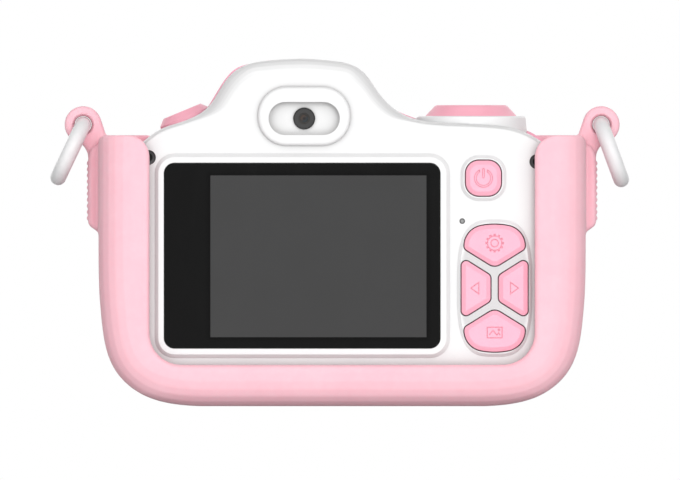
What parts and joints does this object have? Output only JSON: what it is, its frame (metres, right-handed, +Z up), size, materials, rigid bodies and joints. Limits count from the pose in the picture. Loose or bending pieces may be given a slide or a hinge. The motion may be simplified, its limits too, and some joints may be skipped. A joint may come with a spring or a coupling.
{
  "type": "kids digital camera",
  "caption": "Toy digital camera in a soft sleeve: rear screen, power key and key cluster, round shutter and lens keys on top, stepped front lens and a carrying ring on each side.",
  "frame": {"origin": "on the flat bottom of the sleeve, under the middle of the overall box", "axes": "+X to the right when the screen is faced, +Y the way the front lens looks, +Z up"},
  "size_m": [0.1093, 0.046, 0.0657],
  "materials": {
    "white_shell": "satin white ABS",
    "pink_shell": "satin pink ABS",
    "pink_silicone": "matt pink silicone",
    "pink_key": "satin pink ABS",
    "white_ring": "satin white",
    "screen_window": "gloss black border with a clear middle",
    "display": "dark grey, switched off",
    "black_plastic": "matt black",
    "board": "solder mask green",
    "steel": "plain steel",
    "flex": "amber film",
    "battery_wrap": "silver wrap",
    "foam": "white foam tape",
    "white_plastic": "natural nylon",
    "wire": "soft PVC",
    "plunger": "black nylon",
    "lens_trim": "satin pink",
    "clear_glass": "coated clear",
    "diffuser": "milky"
  },
  "bodies": {
    "camera": {"battery": "battery_wrap", "battery_leads": "wire", "battery_pad": "foam", "battery_plug": "white_plastic", "board_screws": "steel", "camera_bracket": "steel", "card_socket": "black_plastic", "case_screws": "steel", "flash_board": "board", "flash_led": "diffuser", "flash_window": "diffuser", "front_camera_module": "black_plastic", "front_shell": "pink_shell", "key_switches": "black_plastic", "lcd_backlight": "steel", "lcd_connector": "black_plastic", "lcd_glass": "display", "lcd_tail": "flex", "lens_barrel": "white_ring", "lens_base_ring": "pink_shell", "lens_cone": "black_plastic", "lens_element": "clear_glass", "lens_front_glass": "clear_glass", "lens_front_ring": "lens_trim", "lens_switch": "black_plastic", "main_board": "board", "memory_chip": "black_plastic", "microphone": "steel", "processor_chip": "black_plastic", "rear_camera_module": "black_plastic", "rear_lens": "clear_glass", "rear_lens_holder": "black_plastic", "rear_shell": "white_shell", "screen_window": "screen_window", "shutter_collar": "white_shell", "shutter_switch": "black_plastic", "silicone_sleeve": "pink_silicone", "speaker": "steel", "status_led": "diffuser", "status_light_pipe": "diffuser", "usb_port": "steel"},
    "shutter": {"shutter_button": "pink_key", "shutter_plunger": "plunger"},
    "lens_key": {"lens_switch_button": "pink_key", "lens_switch_plunger": "plunger"},
    "left_carry_ring": {"left_ring": "white_ring"},
    "right_carry_ring": {"right_ring": "white_ring"},
    "card": {"memory_card": "black_plastic"},
    "power_key": {"power_button": "pink_key", "power_plunger": "plunger"},
    "settings_key": {"settings_button": "pink_key", "settings_plunger": "plunger"},
    "gallery_key": {"gallery_button": "pink_key", "gallery_plunger": "plunger"},
    "left_key": {"left_button": "pink_key", "left_plunger": "plunger"},
    "right_key": {"right_button": "pink_key", "right_plunger": "plunger"}
  },
  "joints": [
    {"name": "shutter_press", "type": "slide", "parent": "camera", "child": "shutter", "axis": [0, 0, -1], "range_m": [0, 0.0009], "stiffness_N_per_m": 1400, "springref_m": -0.0003},
    {"name": "lens_key_press", "type": "slide", "parent": "camera", "child": "lens_key", "axis": [0.3827, 0, -0.9239], "range_m": [0, 0.0006], "stiffness_N_per_m": 1400, "springref_m": -0.0003},
    {"name": "power_press", "type": "slide", "parent": "camera", "child": "power_key", "axis": [0, 1, 0], "range_m": [0, 0.00045], "stiffness_N_per_m": 1500, "springref_m": -0.0003},
    {"name": "settings_press", "type": "slide", "parent": "camera", "child": "settings_key", "axis": [0, 1, 0], "range_m": [0, 0.00045], "stiffness_N_per_m": 1500, "springref_m": -0.0003},
    {"name": "gallery_press", "type": "slide", "parent": "camera", "child": "gallery_key", "axis": [0, 1, 0], "range_m": [0, 0.00045], "stiffness_N_per_m": 1500, "springref_m": -0.0003},
    {"name": "left_press", "type": "slide", "parent": "camera", "child": "left_key", "axis": [0, 1, 0], "range_m": [0, 0.00045], "stiffness_N_per_m": 1500, "springref_m": -0.0003},
    {"name": "right_press", "type": "slide", "parent": "camera", "child": "right_key", "axis": [0, 1, 0], "range_m": [0, 0.00045], "stiffness_N_per_m": 1500, "springref_m": -0.0003},
    {"name": "card_slide", "type": "slide", "parent": "camera", "child": "card", "axis": [0, 0, -1], "range_m": [-0.0004, 0.0145]},
    {"name": "left_ring_swing", "type": "hinge", "parent": "camera", "child": "left_carry_ring", "pos_m": [-0.04894, -0.0022, 0.0532], "axis": [0, 1, 0], "range_deg": [-20, 150]},
    {"name": "right_ring_swing", "type": "hinge", "parent": "camera", "child": "right_carry_ring", "pos_m": [0.04894, -0.0022, 0.0532], "axis": [0, 1, 0], "range_deg": [-150, 15]}
  ]
}
